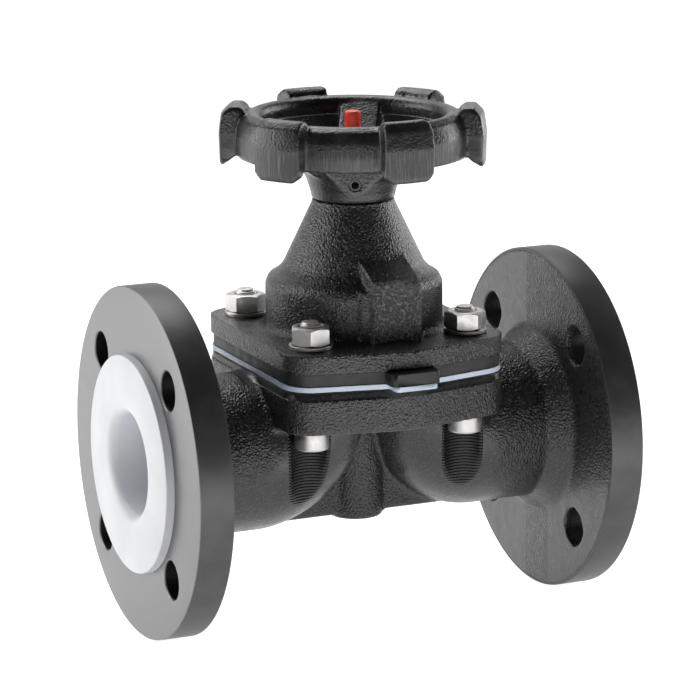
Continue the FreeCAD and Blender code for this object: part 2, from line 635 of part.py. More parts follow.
def spoke():
    """One web from hub to rim, drawn along +X."""
    top = WHEEL_RIM_TOP_Z
    foot = top - RIM_HEIGHT
    hub = wheel_foot_z
    inner = HUB_CUP_D / 2 + 0.5
    outline = [(inner, hub + HUB_CUP_FLOOR - 5), (hub_foot_r + 4.6, hub + HUB_CUP_FLOOR - 1),
               (hub_foot_r + 12.6, foot - 1.5), (RIM_OUTER_R - 2.0, foot + 1), (RIM_OUTER_R - 3.0, top - 6),
               (rim_ridge_r, top - 1.6), (rim_ridge_r - 4.2, top - 2.0), (hub_foot_r + 5.6, hub + HUB_HEIGHT + 1),
               (inner, hub + HUB_HEIGHT - 2)]
    wire = Part.makePolygon([V(r, -SPOKE_WIDTH / 2, z) for r, z in outline + outline[:1]])
    return Part.Face(wire).extrude(V(0, SPOKE_WIDTH, 0))


def handwheel():
    hub_z = wheel_foot_z
    foot_r = hub_foot_r
    hub = turned([(0, hub_z), (foot_r, hub_z), (foot_r + 0.6, hub_z + 3.2), (foot_r + 2.6, hub_z + 9.7),
                  (foot_r + 6.0, hub_z + 16), (foot_r + 6.0, hub_z + HUB_HEIGHT - 3),
                  (foot_r + 3.5, hub_z + HUB_HEIGHT), (0, hub_z + HUB_HEIGHT)])
    wheel = hub.fuse(turned(rim_profile()))
    for i in range(SPOKE_COUNT):
        web = spoke()
        web.rotate(V(0, 0, 0), V(0, 0, 1), SPOKE_FIRST_ANGLE + i * 360 / SPOKE_COUNT)
        wheel = wheel.fuse(web)
    for i in range(LOBE_COUNT):
        grip = lobe()
        grip.rotate(V(0, 0, 0), V(0, 0, 1), LOBE_FIRST_ANGLE + i * 360 / LOBE_COUNT)
        wheel = wheel.fuse(grip)
    flat = box(HUB_FLAT_DISTANCE, rim_ridge_r - 8, -HUB_CUP_D / 2, HUB_CUP_D / 2, hub_z - 1, hub_z + HUB_HEIGHT + 1)
    flat.rotate(V(0, 0, 0), V(0, 0, 1), HUB_PIN_ANGLE)
    cup = disc(HUB_CUP_D / 2, hub_z + HUB_CUP_FLOOR, hub_z + HUB_HEIGHT + 1)
    bore = disc(BUSH_D / 2, hub_z - 1, hub_z + HUB_CUP_FLOOR + 1)
    return wheel.cut([flat, cup, bore, hub_pin_space(HUB_PIN_D / 2)]).removeSplitter()


def hexagon(across_flats, z_low, z_high):
    r = across_flats / math.sqrt(3)
    points = [V(r * math.cos(math.radians(60 * i)), r * math.sin(math.radians(60 * i)), z_low) for i in range(7)]
    return Part.Face(Part.makePolygon(points)).extrude(V(0, 0, z_high - z_low))


def cap_screw():
    under_head_z = BODY_FLANGE_BOTTOM_Z
    foot_z = under_head_z - SCREW_HEAD_HEIGHT
    head_r = SCREW_HEAD_D / 2
    head = turned([(0, foot_z), (head_r - 1.0, foot_z), (head_r, foot_z + 1.0), (head_r, under_head_z),
                   (0, under_head_z)])
    end = 0.9
    shank = turned([(0, under_head_z - 1), (SCREW_D / 2, under_head_z - 1), (SCREW_D / 2, screw_top_z - end),
                    (SCREW_D / 2 - end, screw_top_z), (0, screw_top_z)])
    return head.fuse(shank).cut(hexagon(SCREW_SOCKET_AF, foot_z - 1, foot_z + SCREW_SOCKET_DEPTH)).removeSplitter()


def hex_nut():
    z = bonnet_flange_top_z + WASHER_THICK
    corner_r = NUT_AF / math.sqrt(3)
    flat_r = NUT_AF / 2
    crown = turned([(0, z), (flat_r, z), (corner_r, z + 0.7), (corner_r, z + NUT_HEIGHT - 0.7),
                    (flat_r, z + NUT_HEIGHT), (0, z + NUT_HEIGHT)])
    return hexagon(NUT_AF, z, z + NUT_HEIGHT).common(crown).cut(disc(SCREW_D / 2, z - 1, z + NUT_HEIGHT + 1))


def washer():
    z = bonnet_flange_top_z
    return tube(WASHER_D / 2, SCREW_D / 2 + 0.25, z, z + WASHER_THICK)


def one_per_screw(make):
    """The same fastener at each of the four corners, as separate solids."""
    group = []
    for x, y in screw_places:
        piece = make()
        piece.translate(V(x, y, 0))
        group.append(piece)
    return Part.makeCompound(group)


save("valve_body", valve_body())
save("body_liner", body_liner())
save("diaphragm_face", sheet(FACE_INSET, FACE_TAB_WIDTH, seat_z, FACE_THICK))
save("diaphragm_backing", sheet(BACKING_INSET, TAB_WIDTH, face_top_z, BACKING_THICK).cut(diaphragm_stud()))
save("diaphragm_stud", diaphragm_stud())
save("compressor", compressor())
save("compressor_pin", compressor_pin())
save("spindle", spindle())
save("position_indicator", position_indicator())
save("bonnet", bonnet())
save("threaded_bush", threaded_bush())
save("upper_thrust_washer", thrust_washer(bush_collar_top_z))
save("lower_thrust_washer", thrust_washer(lower_washer_z))
save("bush_retaining_ring", retaining_ring())
save("bush_o_ring", o_ring(BUSH_D / 2 + STANDING_GAP / 2, bonnet_top_z - BUSH_O_RING_BELOW_TOP - O_RING_SECTION))
save("spindle_o_ring", o_ring(SPINDLE_D / 2 + STANDING_GAP / 2, bush_collar_z + SPINDLE_O_RING_ABOVE_COLLAR))
save("handwheel", handwheel())
save("handwheel_pin", handwheel_pin())
save("cap_screws", one_per_screw(cap_screw))
save("hex_nuts", one_per_screw(hex_nut))
save("washers", one_per_screw(washer))
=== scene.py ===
import math
from contextlib import contextmanager

import bpy
from mathutils import Matrix, Vector


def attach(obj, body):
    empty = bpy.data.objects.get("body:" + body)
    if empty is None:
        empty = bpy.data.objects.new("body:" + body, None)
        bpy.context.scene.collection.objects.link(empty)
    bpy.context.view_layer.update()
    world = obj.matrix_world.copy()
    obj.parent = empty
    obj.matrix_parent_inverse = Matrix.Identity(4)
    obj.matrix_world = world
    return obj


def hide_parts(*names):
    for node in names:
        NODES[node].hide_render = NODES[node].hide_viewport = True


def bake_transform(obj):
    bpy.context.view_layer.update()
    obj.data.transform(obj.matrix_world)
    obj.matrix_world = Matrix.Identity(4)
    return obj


# Lined diaphragm valve in the row frame: metres, X along the pipe, Z up the stem.
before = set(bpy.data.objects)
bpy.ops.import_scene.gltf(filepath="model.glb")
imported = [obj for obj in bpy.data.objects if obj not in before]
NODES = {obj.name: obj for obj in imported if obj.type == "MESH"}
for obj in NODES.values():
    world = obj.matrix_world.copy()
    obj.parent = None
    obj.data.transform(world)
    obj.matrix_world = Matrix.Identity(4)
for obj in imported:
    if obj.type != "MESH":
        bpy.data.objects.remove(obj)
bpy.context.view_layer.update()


# Sizes and places: flat ends come from the CAD nodes, round forms are named here

MM = 0.001
X_AXIS, Z_AXIS = 0, 2


def reach(node, axis):
    """The lowest and the highest place of a CAD node along an axis, to the micrometre."""
    places = [vertex.co[axis] for vertex in NODES[node].data.vertices]
    return round(min(places), 6), round(max(places), 6)


INLET_X, OUTLET_X = reach("body_liner", X_AXIS)
STEM_X = (INLET_X + OUTLET_X) / 2
HALF_LENGTH = OUTLET_X - STEM_X

FLANGE_R, FLANGE_THICK = 82.5 * MM, 16.5 * MM
FLANGE_FACE = STEM_X - reach("valve_body", X_AXIS)[0]
FLANGE_BACK = FLANGE_FACE - FLANGE_THICK
FLANGE_LAND_R, FLANGE_RECESS = 81.2 * MM, 1.2 * MM
BOLT_HOLE_R, BOLT_CIRCLE_R = 9 * MM, 62.5 * MM

BORE_R, LINER_OUTER_R = 24 * MM, 27.6 * MM
FACING_R, FACING_THICK = 51 * MM, HALF_LENGTH - FLANGE_FACE
MOUTH_DEPTH, MOUTH_LIP_R = 16.4 * MM, 4.5 * MM

SCREW_X, SCREW_Y = 39.0 * MM, 39.5 * MM
SCREW_PLACES = [(STEM_X + sx * SCREW_X, sy * SCREW_Y) for sx in (-1, 1) for sy in (-1, 1)]
SCREW_TURNS = (8, 41, -17, 23)
SCREW_R, SCREW_PITCH, THREAD_DEPTH = 4.97 * MM, 1.5 * MM, 0.55 * MM
SCREW_HEAD_R, SCREW_HEAD_HEIGHT = 8 * MM, 10 * MM
SCREW_HEAD_Z, SCREW_END_Z = reach("cap_screws", Z_AXIS)
NUT_ACROSS = 17 * MM
NUT_LOW_Z, NUT_HIGH_Z = reach("hex_nuts", Z_AXIS)
WASHER_R, WASHER_HOLE_R = 10 * MM, 5.25 * MM
BONNET_FLANGE_TOP_Z = reach("washers", Z_AXIS)[0]

SHEETS_LOW_Z = reach("diaphragm_face", Z_AXIS)[0]
SHEETS_HIGH_Z = reach("bonnet", Z_AXIS)[0]
DOME_R, DOME_RISE, SKIN = 34 * MM, 5.5 * MM, 0.8 * MM
RIM_HOLE_R = DOME_R + 0.4 * MM

HUB_FOOT_Z = reach("handwheel", Z_AXIS)[0]
HUB_FLAT, HUB_PIN_TURN = 20.5 * MM, math.radians(-111)
HUB_PIN_Z = HUB_FOOT_Z + 9 * MM

ON_AXIS = 0.01 * MM
MERGE = 0.001 * MM


# Modelling by hand, in code

def clear_selection():
    if bpy.context.object and bpy.context.object.mode != "OBJECT":
        bpy.ops.object.mode_set(mode="OBJECT")
    bpy.ops.object.select_all(action="DESELECT")


def pick(obj):
    clear_selection()
    obj.select_set(True)
    bpy.context.view_layer.objects.active = obj
    return obj


@contextmanager
def editing(obj):
    """Edit mode on one object, all of it selected."""
    pick(obj)
    bpy.ops.object.mode_set(mode="EDIT")
    bpy.ops.mesh.select_all(action="SELECT")
    yield
    bpy.ops.object.mode_set(mode="OBJECT")


def apply_modifier(obj, kind, **values):
    pick(obj)
    modifier = obj.modifiers.new(kind, kind)
    for key, value in values.items():
        setattr(modifier, key, value)
    bpy.ops.object.modifier_apply(modifier=modifier.name)
    return obj


def smooth(obj, degrees=32):
    pick(obj)
    bpy.ops.object.shade_smooth_by_angle(angle=math.radians(degrees))
    return obj


def loop_of(name, points):
    """A closed loop of vertices at the given places, from a circle primitive."""
    clear_selection()
    bpy.ops.mesh.primitive_circle_add(vertices=len(points), radius=1)
    obj = bpy.context.object
    obj.name = name
    obj.data.name = name
    for vertex, place_at in zip(obj.data.vertices, points):
        vertex.co = place_at
    return obj


def turned(name, profile, steps=96):
    """A turned piece about its own Z axis, from (radius, z) points."""
    obj = loop_of(name, [(r, 0, z) for r, z in profile])
    with editing(obj):
        bpy.ops.mesh.spin(steps=steps, angle=2 * math.pi, center=(0, 0, 0), axis=(0, 0, 1))
        bpy.ops.mesh.select_all(action="SELECT")
        bpy.ops.mesh.remove_doubles(threshold=MERGE)
        bpy.ops.mesh.normals_make_consistent(inside=False)
    return obj


def rounded(profile, radius, steps=4):
    """The same closed profile with every corner rounded, for turned()."""
    points = []
    count = len(profile)
    for i in range(count):
        here = Vector(profile[i])
        before = Vector(profile[i - 1]) - here
        after = Vector(profile[(i + 1) % count]) - here
        back_off = min(radius, before.length * 0.45, after.length * 0.45)
        a = here + before.normalized() * back_off
        b = here + after.normalized() * back_off
        for k in range(steps + 1):
            t = k / steps
            p = a * (1 - t) ** 2 + here * 2 * t * (1 - t) + b * t ** 2
            points.append((p.x, p.y))
    return points


def prism(name, outline, z_low, z_high):
    """An outline raised from z_low to z_high."""
    obj = loop_of(name, [(x, y, z_low) for x, y in outline])
    with editing(obj):
        bpy.ops.mesh.edge_face_add()
        bpy.ops.mesh.extrude_region_move(TRANSFORM_OT_translate={"value": (0, 0, z_high - z_low)})
        bpy.ops.mesh.select_all(action="SELECT")
        bpy.ops.mesh.normals_make_consistent(inside=False)
    return obj


def hexagon(corner):
    """Six corners at the given distance from the axis."""
    return [(corner * math.cos(math.radians(60 * i)), corner * math.sin(math.radians(60 * i)))
            for i in range(6)]


def cut(obj, cutter, operation="DIFFERENCE"):
    apply_modifier(obj, "BOOLEAN", object=cutter, operation=operation, solver="EXACT")
    bpy.data.objects.remove(cutter)
    return obj


def trim(obj, from_stem, side):
    """Takes off what lies further from the stem than from_stem, on one side of it."""
    with editing(obj):
        bpy.ops.mesh.bisect(plane_co=(STEM_X + side * from_stem, 0, 0), plane_no=(side, 0, 0),
                            clear_outer=True)


def move(obj, place_at):
    obj.data.transform(Matrix.Translation(Vector(place_at)))
    return obj


def turn(obj, angle, axis):
    obj.data.transform(Matrix.Rotation(angle, 4, axis))
    return obj


def join(name, pieces):
    clear_selection()
    for piece in pieces:
        piece.select_set(True)
    bpy.context.view_layer.objects.active = pieces[0]
    bpy.ops.object.join()
    pieces[0].name = name
    pieces[0].data.name = name
    return pieces[0]


def copy_of(obj, name):
    twin = obj.copy()
    twin.data = obj.data.copy()
    twin.name = name
    bpy.context.scene.collection.objects.link(twin)
    return twin


def cad_copy(node, name):
    """A free copy of a CAD node, bare of material, with its loose triangles merged."""
    twin = copy_of(NODES[node], name)
    twin.parent = None
    for key in list(twin.keys()):
        del twin[key]
    twin.data.materials.clear()
    with editing(twin):
        bpy.ops.mesh.remove_doubles(threshold=MERGE)
    return twin


def cast_copy(node, name, voxel, rounds, extras=()):
    """The shape of a CAD casting, with any extra forms, and the soft edges and fillets of a sand mould."""
    twin = cad_copy(node, name)
    if extras:
        twin = join(name, [twin] + list(extras))
    apply_modifier(twin, "REMESH", mode="VOXEL", voxel_size=voxel)
    apply_modifier(twin, "SMOOTH", factor=0.5, iterations=rounds)
    for polygon in twin.data.polygons:
        polygon.use_smooth = True
    return twin


def place(obj, body, material, slot_name, *nodes):
    obj.data.materials.clear()
    obj.data.materials.append(material)
    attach(obj, body)
    if nodes:
        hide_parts(*nodes)
    return obj


# Materials

# Most of a noise lies between these two values.
NOISE_LOW, NOISE_HIGH = 0.3, 0.7


class Look:
    """A material under construction: nodes are added by short calls."""

    def __init__(self, name):
        self.material = bpy.data.materials.new(name)
        self.material.use_nodes = True
        self.tree = self.material.node_tree
        self.shader = self.tree.nodes["Principled BSDF"]
        self.place = self.node("ShaderNodeTexCoord").outputs["Object"]

    def feed(self, socket, value):
        """Links the socket to another node's output, or gives it a plain value."""
        if isinstance(value, bpy.types.NodeSocket):
            self.tree.links.new(value, socket)
        else:
            socket.default_value = value

    def node(self, kind, inputs=None, **values):
        made = self.tree.nodes.new(kind)
        for key, value in values.items():
            setattr(made, key, value)
        for key, value in (inputs or {}).items():
            self.feed(made.inputs[key], value)
        return made

    def set(self, key, value):
        self.feed(self.shader.inputs[key], value)

    def noise(self, size, detail=3.0, rough=0.5, where=None):
        """Noise whose lumps are about size metres across."""
        return self.node("ShaderNodeTexNoise", {
            "Vector": self.place if where is None else where, "Scale": 1.0 / size,
            "Detail": detail, "Roughness": rough}).outputs["Fac"]

    def axes(self):
        parts = self.node("ShaderNodeSeparateXYZ", {"Vector": self.place}).outputs
        return parts["X"], parts["Y"], parts["Z"]

    def vector(self, x, y):
        return self.node("ShaderNodeCombineXYZ", {"X": x, "Y": y, "Z": 0.0}).outputs["Vector"]

    def math(self, operation, a, b=0.0):
        made = self.node("ShaderNodeMath", operation=operation)
        self.feed(made.inputs[0], a)
        self.feed(made.inputs[1], b)
        return made.outputs[0]

    def times(self, first, *others):
        for other in others:
            first = self.math("MULTIPLY", first, other)
        return first

    def all_but(self, share):
        return self.math("SUBTRACT", 1.0, share)

    def apart(self, value, middle):
        """How far the value is from middle, on either side."""
        return self.math("ABSOLUTE", self.math("SUBTRACT", value, middle))

    def distance(self, a, b):
        return self.math("SQRT", self.math("ADD", self.times(a, a), self.times(b, b)))

    def ramp(self, value, low, high, out_low=0.0, out_high=1.0):
        return self.node("ShaderNodeMapRange", {
            "Value": value, "From Min": low, "From Max": high, "To Min": out_low, "To Max": out_high},
            interpolation_type="SMOOTHSTEP").outputs["Result"]

    def vary(self, noise, a, b):
        """A number that goes from a to b with the noise."""
        return self.ramp(noise, NOISE_LOW, NOISE_HIGH, a, b)

    def beyond(self, value, edge, soft):
        """1 past the edge and 0 before it, over a soft width."""
        return self.ramp(value, edge - soft / 2, edge + soft / 2)

    def before(self, value, edge, soft):
        """1 before the edge and 0 past it, over a soft width."""
        return self.ramp(value, edge - soft / 2, edge + soft / 2, 1.0, 0.0)

    def mix(self, share, a, b):
        """Colour a where share is 0 and b where it is 1; the sockets go by number, as their names repeat."""
        made = self.node("ShaderNodeMix", data_type="RGBA")
        for index, value in ((0, share), (6, a), (7, b)):
            self.feed(made.inputs[index], value)
        return made.outputs[2]

    def mottle(self, noise, a, b):
        """A colour that goes from a to b with the noise."""
        return self.mix(self.ramp(noise, NOISE_LOW, NOISE_HIGH), a, b)

    def bump(self, heights, round_edges=0.0):
        """Stacks (height, distance in metres, strength) bumps, over rounded edges if asked."""
        normal = None
        if round_edges:
            normal = self.node("ShaderNodeBevel", {"Radius": round_edges}, samples=6).outputs["Normal"]
        for height, distance, strength in heights:
            inputs = {"Height": height, "Distance": distance, "Strength": strength}
            if normal is not None:
                inputs["Normal"] = normal
            normal = self.node("ShaderNodeBump", inputs).outputs["Normal"]
        self.set("Normal", normal)


def grey(level, tint=0.0):
    return (level, level, level * (1 + tint), 1.0)


def sand_cast_coat(look, lumps, grain):
    """Black coat on sand cast iron, paler on the tops of the grains."""
    coat = look.mix(look.ramp(lumps, 0.35, 0.70), grey(0.011, 0.04), grey(0.016, 0.05))
    return look.mix(look.ramp(grain, 0.52, 0.70), coat, grey(0.045))


def body_casting():
    """Black coated casting, rough as sand, with smoother rims and barrels and ribbed screw pockets."""
    look = Look("coated_casting_body")
    x, y, z = look.axes()
    from_stem = look.apart(x, STEM_X)
    aside = look.math("ABSOLUTE", y)
    grain = look.noise(1.0 * MM, 1.0)
    lumps = look.noise(5.0 * MM)
    waves = look.noise(16 * MM, 2.0)

    clamp_rim = look.times(look.beyond(z, 35 * MM, 1 * MM), look.before(from_stem, 61 * MM, 2 * MM))
    underside = look.all_but(look.beyond(z, -14 * MM, 20 * MM))
    barrel = look.times(look.beyond(from_stem, 13 * MM, 6 * MM), look.before(from_stem, 57 * MM, 10 * MM))
    satin = look.times(look.math("MAXIMUM", underside, barrel), look.beyond(aside, 15 * MM, 6 * MM),
                       look.before(z, 16 * MM, 4 * MM))
    flange_back = look.times(look.beyond(from_stem, FLANGE_BACK - 1.15 * MM, 1.3 * MM),
                             look.beyond(y, 7.5 * MM, 0.6 * MM))
    rough = look.times(look.all_but(look.times(clamp_rim, 0.9)), look.all_but(look.times(satin, 0.75)),
                       look.all_but(look.times(flange_back, 0.8)))

    from_screw = look.distance(look.math("SUBTRACT", from_stem, SCREW_X),
                               look.math("SUBTRACT", aside, SCREW_Y))
    pocket = look.times(look.before(from_screw, 10.6 * MM, 0.8 * MM), look.before(z, 17 * MM, 1 * MM))
    rib_pitch = 1.45 * MM
    ribs = look.times(look.math("SINE", look.times(z, 2 * math.pi / rib_pitch)), pocket)
    no_pocket = look.all_but(pocket)

    colour = look.mix(flange_back, sand_cast_coat(look, lumps, grain), grey(0.035))
    look.set("Base Color", look.mix(pocket, colour, grey(0.06)))
    look.set("Metallic", look.times(pocket, 0.6))
    look.set("Roughness", look.vary(lumps, 0.26, 0.36))
    look.set("Specular IOR Level", 0.7)
    look.bump([(waves, 1.0 * MM, 0.4), (look.times(lumps, rough, no_pocket), 0.8 * MM, 0.35),
               (look.times(grain, rough, no_pocket), 0.8 * MM, 0.9), (ribs, 0.5 * MM, 1.0)])
    return look.material


def bonnet_casting():
    """The same coat, pitted and paler on the front of the raised pad."""
    look = Look("coated_casting_bonnet")
    x, y, z = look.axes()
    grain = look.noise(1.0 * MM, 1.0)
    lumps = look.noise(4.6 * MM, 3.0, 0.55)
    waves = look.noise(14 * MM, 2.0)
    pad = look.times(look.before(look.apart(x, STEM_X + 2 * MM), 12 * MM, 2 * MM),
                     look.before(y, -43.5 * MM, 2 * MM),
                     look.beyond(z, BONNET_FLANGE_TOP_Z + 1.25 * MM, 1.5 * MM))
    pits = look.times(look.ramp(look.noise(1.7 * MM, 3.0, 0.7), 0.42, 0.62), pad)
    look.set("Base Color", look.mix(pits, sand_cast_coat(look, lumps, grain), grey(0.17)))
    look.set("Roughness", look.math("ADD", look.vary(lumps, 0.26, 0.36), look.times(pad, 0.08)))
    look.set("Specular IOR Level", 0.7)
    look.bump([(waves, 1.0 * MM, 0.4), (lumps, 0.8 * MM, 0.35), (grain, 0.8 * MM, 0.9),
               (pits, 0.6 * MM, 0.9)])
    return look.material


def wheel_casting():
    """Coated wheel whose lobes and lower rim were fettled on a grinder."""
    look = Look("coated_casting_wheel")
    x, y, z = look.axes()
    from_axis = look.math("SUBTRACT", x, STEM_X)
    peel = look.noise(1.1 * MM, 1.0)
    lumps = look.noise(6.0 * MM, 3.0, 0.55)
    around = look.math("ARCTAN2", y, from_axis)
    grind = look.noise(1.0, 4.0, 0.65, look.vector(look.times(around, 90.0), look.times(z, 60.0)))
    outside = look.beyond(look.distance(from_axis, y), 54 * MM, 1 * MM)
    fettled_below = look.math("ADD", 147.5 * MM, look.times(look.math("SUBTRACT", lumps, 0.5), 4 * MM))
    fettled = look.times(look.all_but(look.math("GREATER_THAN", z, fettled_below)), outside)
    coat = look.mix(look.ramp(lumps, 0.35, 0.70), grey(0.012, 0.04), grey(0.018, 0.05))
    look.set("Base Color", look.mix(look.times(fettled, look.ramp(grind, 0.45, 0.70)), coat, grey(0.10)))
    look.set("Roughness", look.math("ADD", look.vary(lumps, 0.26, 0.38), look.times(fettled, 0.05)))
    look.set("Specular IOR Level", 0.62)
    as_cast = look.all_but(look.times(fettled, 0.7))
    look.bump([(look.times(lumps, as_cast), 0.3 * MM, 0.3), (look.times(peel, as_cast), 0.3 * MM, 0.8),
               (look.times(grind, fettled), 0.4 * MM, 0.7)])
    return look.material


def turned_flange():
    """Smooth coated flange: turned faces and rim with faint tool lines; the bolt holes are painted near black
    and without sheen, as painted shade.
    """
    look = Look("turned_flange_coat")
    x, y, z = look.axes()
    lines_per_metre = 1600.0
    lines = look.noise(1.0, 3.0, 0.6, look.vector(look.times(look.distance(y, z), lines_per_metre),
                                                  look.times(x, lines_per_metre)))
    cloud = look.noise(12 * MM)
    face = look.beyond(look.apart(x, STEM_X), FLANGE_FACE - 0.4 * MM, 0.4 * MM)
    hole_aside = BOLT_CIRCLE_R * math.sin(math.radians(45))
    from_hole = look.distance(look.math("SUBTRACT", look.math("ABSOLUTE", y), hole_aside),
                              look.math("SUBTRACT", look.math("ABSOLUTE", z), hole_aside))
    # Painted shade: the walls of the bolt holes are coloured near black and made non-metallic, so they look
    # deep in shadow.
    outside_painted_hole_shade = look.beyond(from_hole, BOLT_HOLE_R + 0.2 * MM, 0.2 * MM)
    rim_coat = look.mottle(cloud, grey(0.085, 0.02), grey(0.105, 0.02))
    face_coat = look.mottle(cloud, grey(0.20), grey(0.22))
    look.set("Base Color", look.mix(outside_painted_hole_shade, grey(0.004), look.mix(face, rim_coat, face_coat)))
    look.set("Metallic", look.times(outside_painted_hole_shade, 0.8))
    look.set("Roughness", look.math("SUBTRACT", look.vary(cloud, 0.42, 0.48), look.times(face, 0.06)))
    look.bump([(lines, 0.05 * MM, 0.3), (cloud, 0.2 * MM, 0.15)])
    return look.material


def fluoropolymer(name, colour, warm, inside=None):
    """Waxy moulded plastic; a third colour, if given, is the lining's own colour, and the first two then
    stand only on its facings as a darker copy of it, which is painted shade.
    """
    look = Look(name)
    cloud = look.noise(20 * MM)
    fine = look.noise(0.8 * MM)
    shade = look.mottle(cloud, colour, warm)
    if inside:
        # Painted shade: near each facing the lining is coloured darker than its own colour, the third.
        painted_shade_at_facings = look.beyond(look.apart(look.axes()[0], STEM_X), HALF_LENGTH - 2.5 * MM, 4 * MM)
        shade = look.mix(painted_shade_at_facings, inside, shade)
    look.set("Base Color", shade)
    look.set("Roughness", look.vary(cloud, 0.30, 0.40))
    look.set("Subsurface Weight", 0.15)
    look.set("Subsurface Radius", (2 * MM, 2 * MM, 2 * MM))
    look.set("Subsurface Scale", 1.0)
    look.bump([(cloud, 0.3 * MM, 0.3), (fine, 0.04 * MM, 0.3)], 0.4 * MM)
    return look.material


def rubber():
    look = Look("moulded_rubber")
    fine = look.noise(0.7 * MM, 4.0, 0.6)
    cloud = look.noise(8 * MM)
    look.set("Base Color", look.mottle(cloud, grey(0.010), grey(0.017, 0.05)))
    look.set("Roughness", look.vary(cloud, 0.42, 0.58))
    look.bump([(cloud, 0.3 * MM, 0.3), (fine, 0.1 * MM, 0.5)], 0.4 * MM)
    return look.material


def metal(name, level, rough, tint, stretch=None):
    """Bare metal of a grey level and a tint; a stretch turns a noise into tool lines."""
    look = Look(name)
    cloud = look.noise(4 * MM, 4.0, 0.6)
    fine = look.noise(0.6 * MM, 4.0, 0.6)
    darker, lighter = (tuple(level * share * part for part in tint) + (1.0,) for share in (0.86, 1.05))
    look.set("Base Color", look.mottle(cloud, darker, lighter))
    look.set("Metallic", 1.0)
    look.set("Roughness", look.vary(cloud, rough * 0.8, rough * 1.2))
    heights = [(cloud, 0.06 * MM, 0.1), (fine, 0.01 * MM, 0.3)]
    if stretch:
        drawn = look.node("ShaderNodeMapping", {"Vector": look.place, "Scale": stretch}).outputs["Vector"]
        heights.append((look.noise(1.0 * MM, 3.0, 0.6, drawn), 0.08 * MM, 0.6))
    look.bump(heights, 0.3 * MM)
    return look.material


def red_plastic():
    look = Look("red_plastic")
    cloud = look.noise(6 * MM)
    look.set("Base Color", look.mottle(cloud, (0.85, 0.055, 0.03, 1), (0.95, 0.075, 0.045, 1)))
    look.set("Roughness", look.vary(cloud, 0.28, 0.40))
    look.set("Subsurface Weight", 0.1)
    look.set("Subsurface Radius", (3 * MM, 1 * MM, 0.5 * MM))
    look.bump([(cloud, 0.2 * MM, 0.3), (look.noise(0.6 * MM), 0.05 * MM, 0.4)], 0.3 * MM)
    return look.material


TURNED_LINES = (1, 1, 40)
BODY_IRON = body_casting()
BONNET_IRON = bonnet_casting()
WHEEL_IRON = wheel_casting()
TURNED_COAT = turned_flange()
# The white lining: its first two colours are the painted shade on its facings, and the third is its own
# colour behind them.
WHITE_LINER = fluoropolymer("white_fluoropolymer", (0.60, 0.605, 0.62, 1), (0.57, 0.575, 0.59, 1),
                            (0.72, 0.73, 0.765, 1))
FACE_SHEET = fluoropolymer("bluish_fluoropolymer", (0.62, 0.69, 0.80, 1), (0.56, 0.63, 0.75, 1))
RUBBER = rubber()
STAINLESS = metal("stainless", 0.60, 0.44, (1.0, 0.985, 0.965))
TURNED_STEEL = metal("turned_steel", 0.52, 0.24, (1.0, 0.99, 0.97), TURNED_LINES)
SPRING_STEEL = metal("spring_steel", 0.07, 0.35, (1, 1, 1.02))
BARE_IRON = metal("bare_iron", 0.26, 0.42, (1, 1, 1))
BRONZE = metal("bronze", 0.62, 0.28, (1.0, 0.70, 0.36), TURNED_LINES)
THRUST_PLASTIC = fluoropolymer("thrust_washer_plastic", (0.70, 0.66, 0.56, 1), (0.64, 0.60, 0.50, 1))
RED = red_plastic()

for node, material, slot_name in (
        ("diaphragm_face", FACE_SHEET, "ptfe_face"),
        ("diaphragm_backing", RUBBER, "black_rubber"), ("diaphragm_stud", STAINLESS, "stainless"),
        ("compressor", BARE_IRON, "machined_iron"), ("compressor_pin", STAINLESS, "stainless"),
        ("spindle", TURNED_STEEL, "turned_steel"), ("position_indicator", RED, "red_plastic"),
        ("threaded_bush", BRONZE, "bronze"), ("upper_thrust_washer", THRUST_PLASTIC, "thrust_plastic"),
        ("lower_thrust_washer", THRUST_PLASTIC, "thrust_plastic"),
        ("bush_retaining_ring", SPRING_STEEL, "spring_steel"),
        ("bush_o_ring", RUBBER, "black_rubber"), ("spindle_o_ring", RUBBER, "black_rubber"),
        ("handwheel_pin", SPRING_STEEL, "spring_steel"), ("cap_screws", STAINLESS, "stainless"),
        ("hex_nuts", STAINLESS, "stainless"), ("washers", STAINLESS, "stainless")):
    NODES[node].data.materials.clear()
    NODES[node].data.materials.append(material)


# Body: a rough casting, ended short of the two flanges, which are turned

def rim_cutter(side):
    """A ring that takes the cast rim off, because the turned flange's own rim stands there."""
    inner, outer = FLANGE_LAND_R + 0.2 * MM, FLANGE_R + 7.5 * MM
    low, high = -3 * MM, FLANGE_THICK + 3.5 * MM
    ring = turned("rim_cutter", [(inner, low), (outer, low), (outer, high), (inner, high)], 192)
    turn(ring, side * math.pi / 2, "Y")
    return move(ring, (STEM_X + side * FLANGE_BACK, 0, 0))


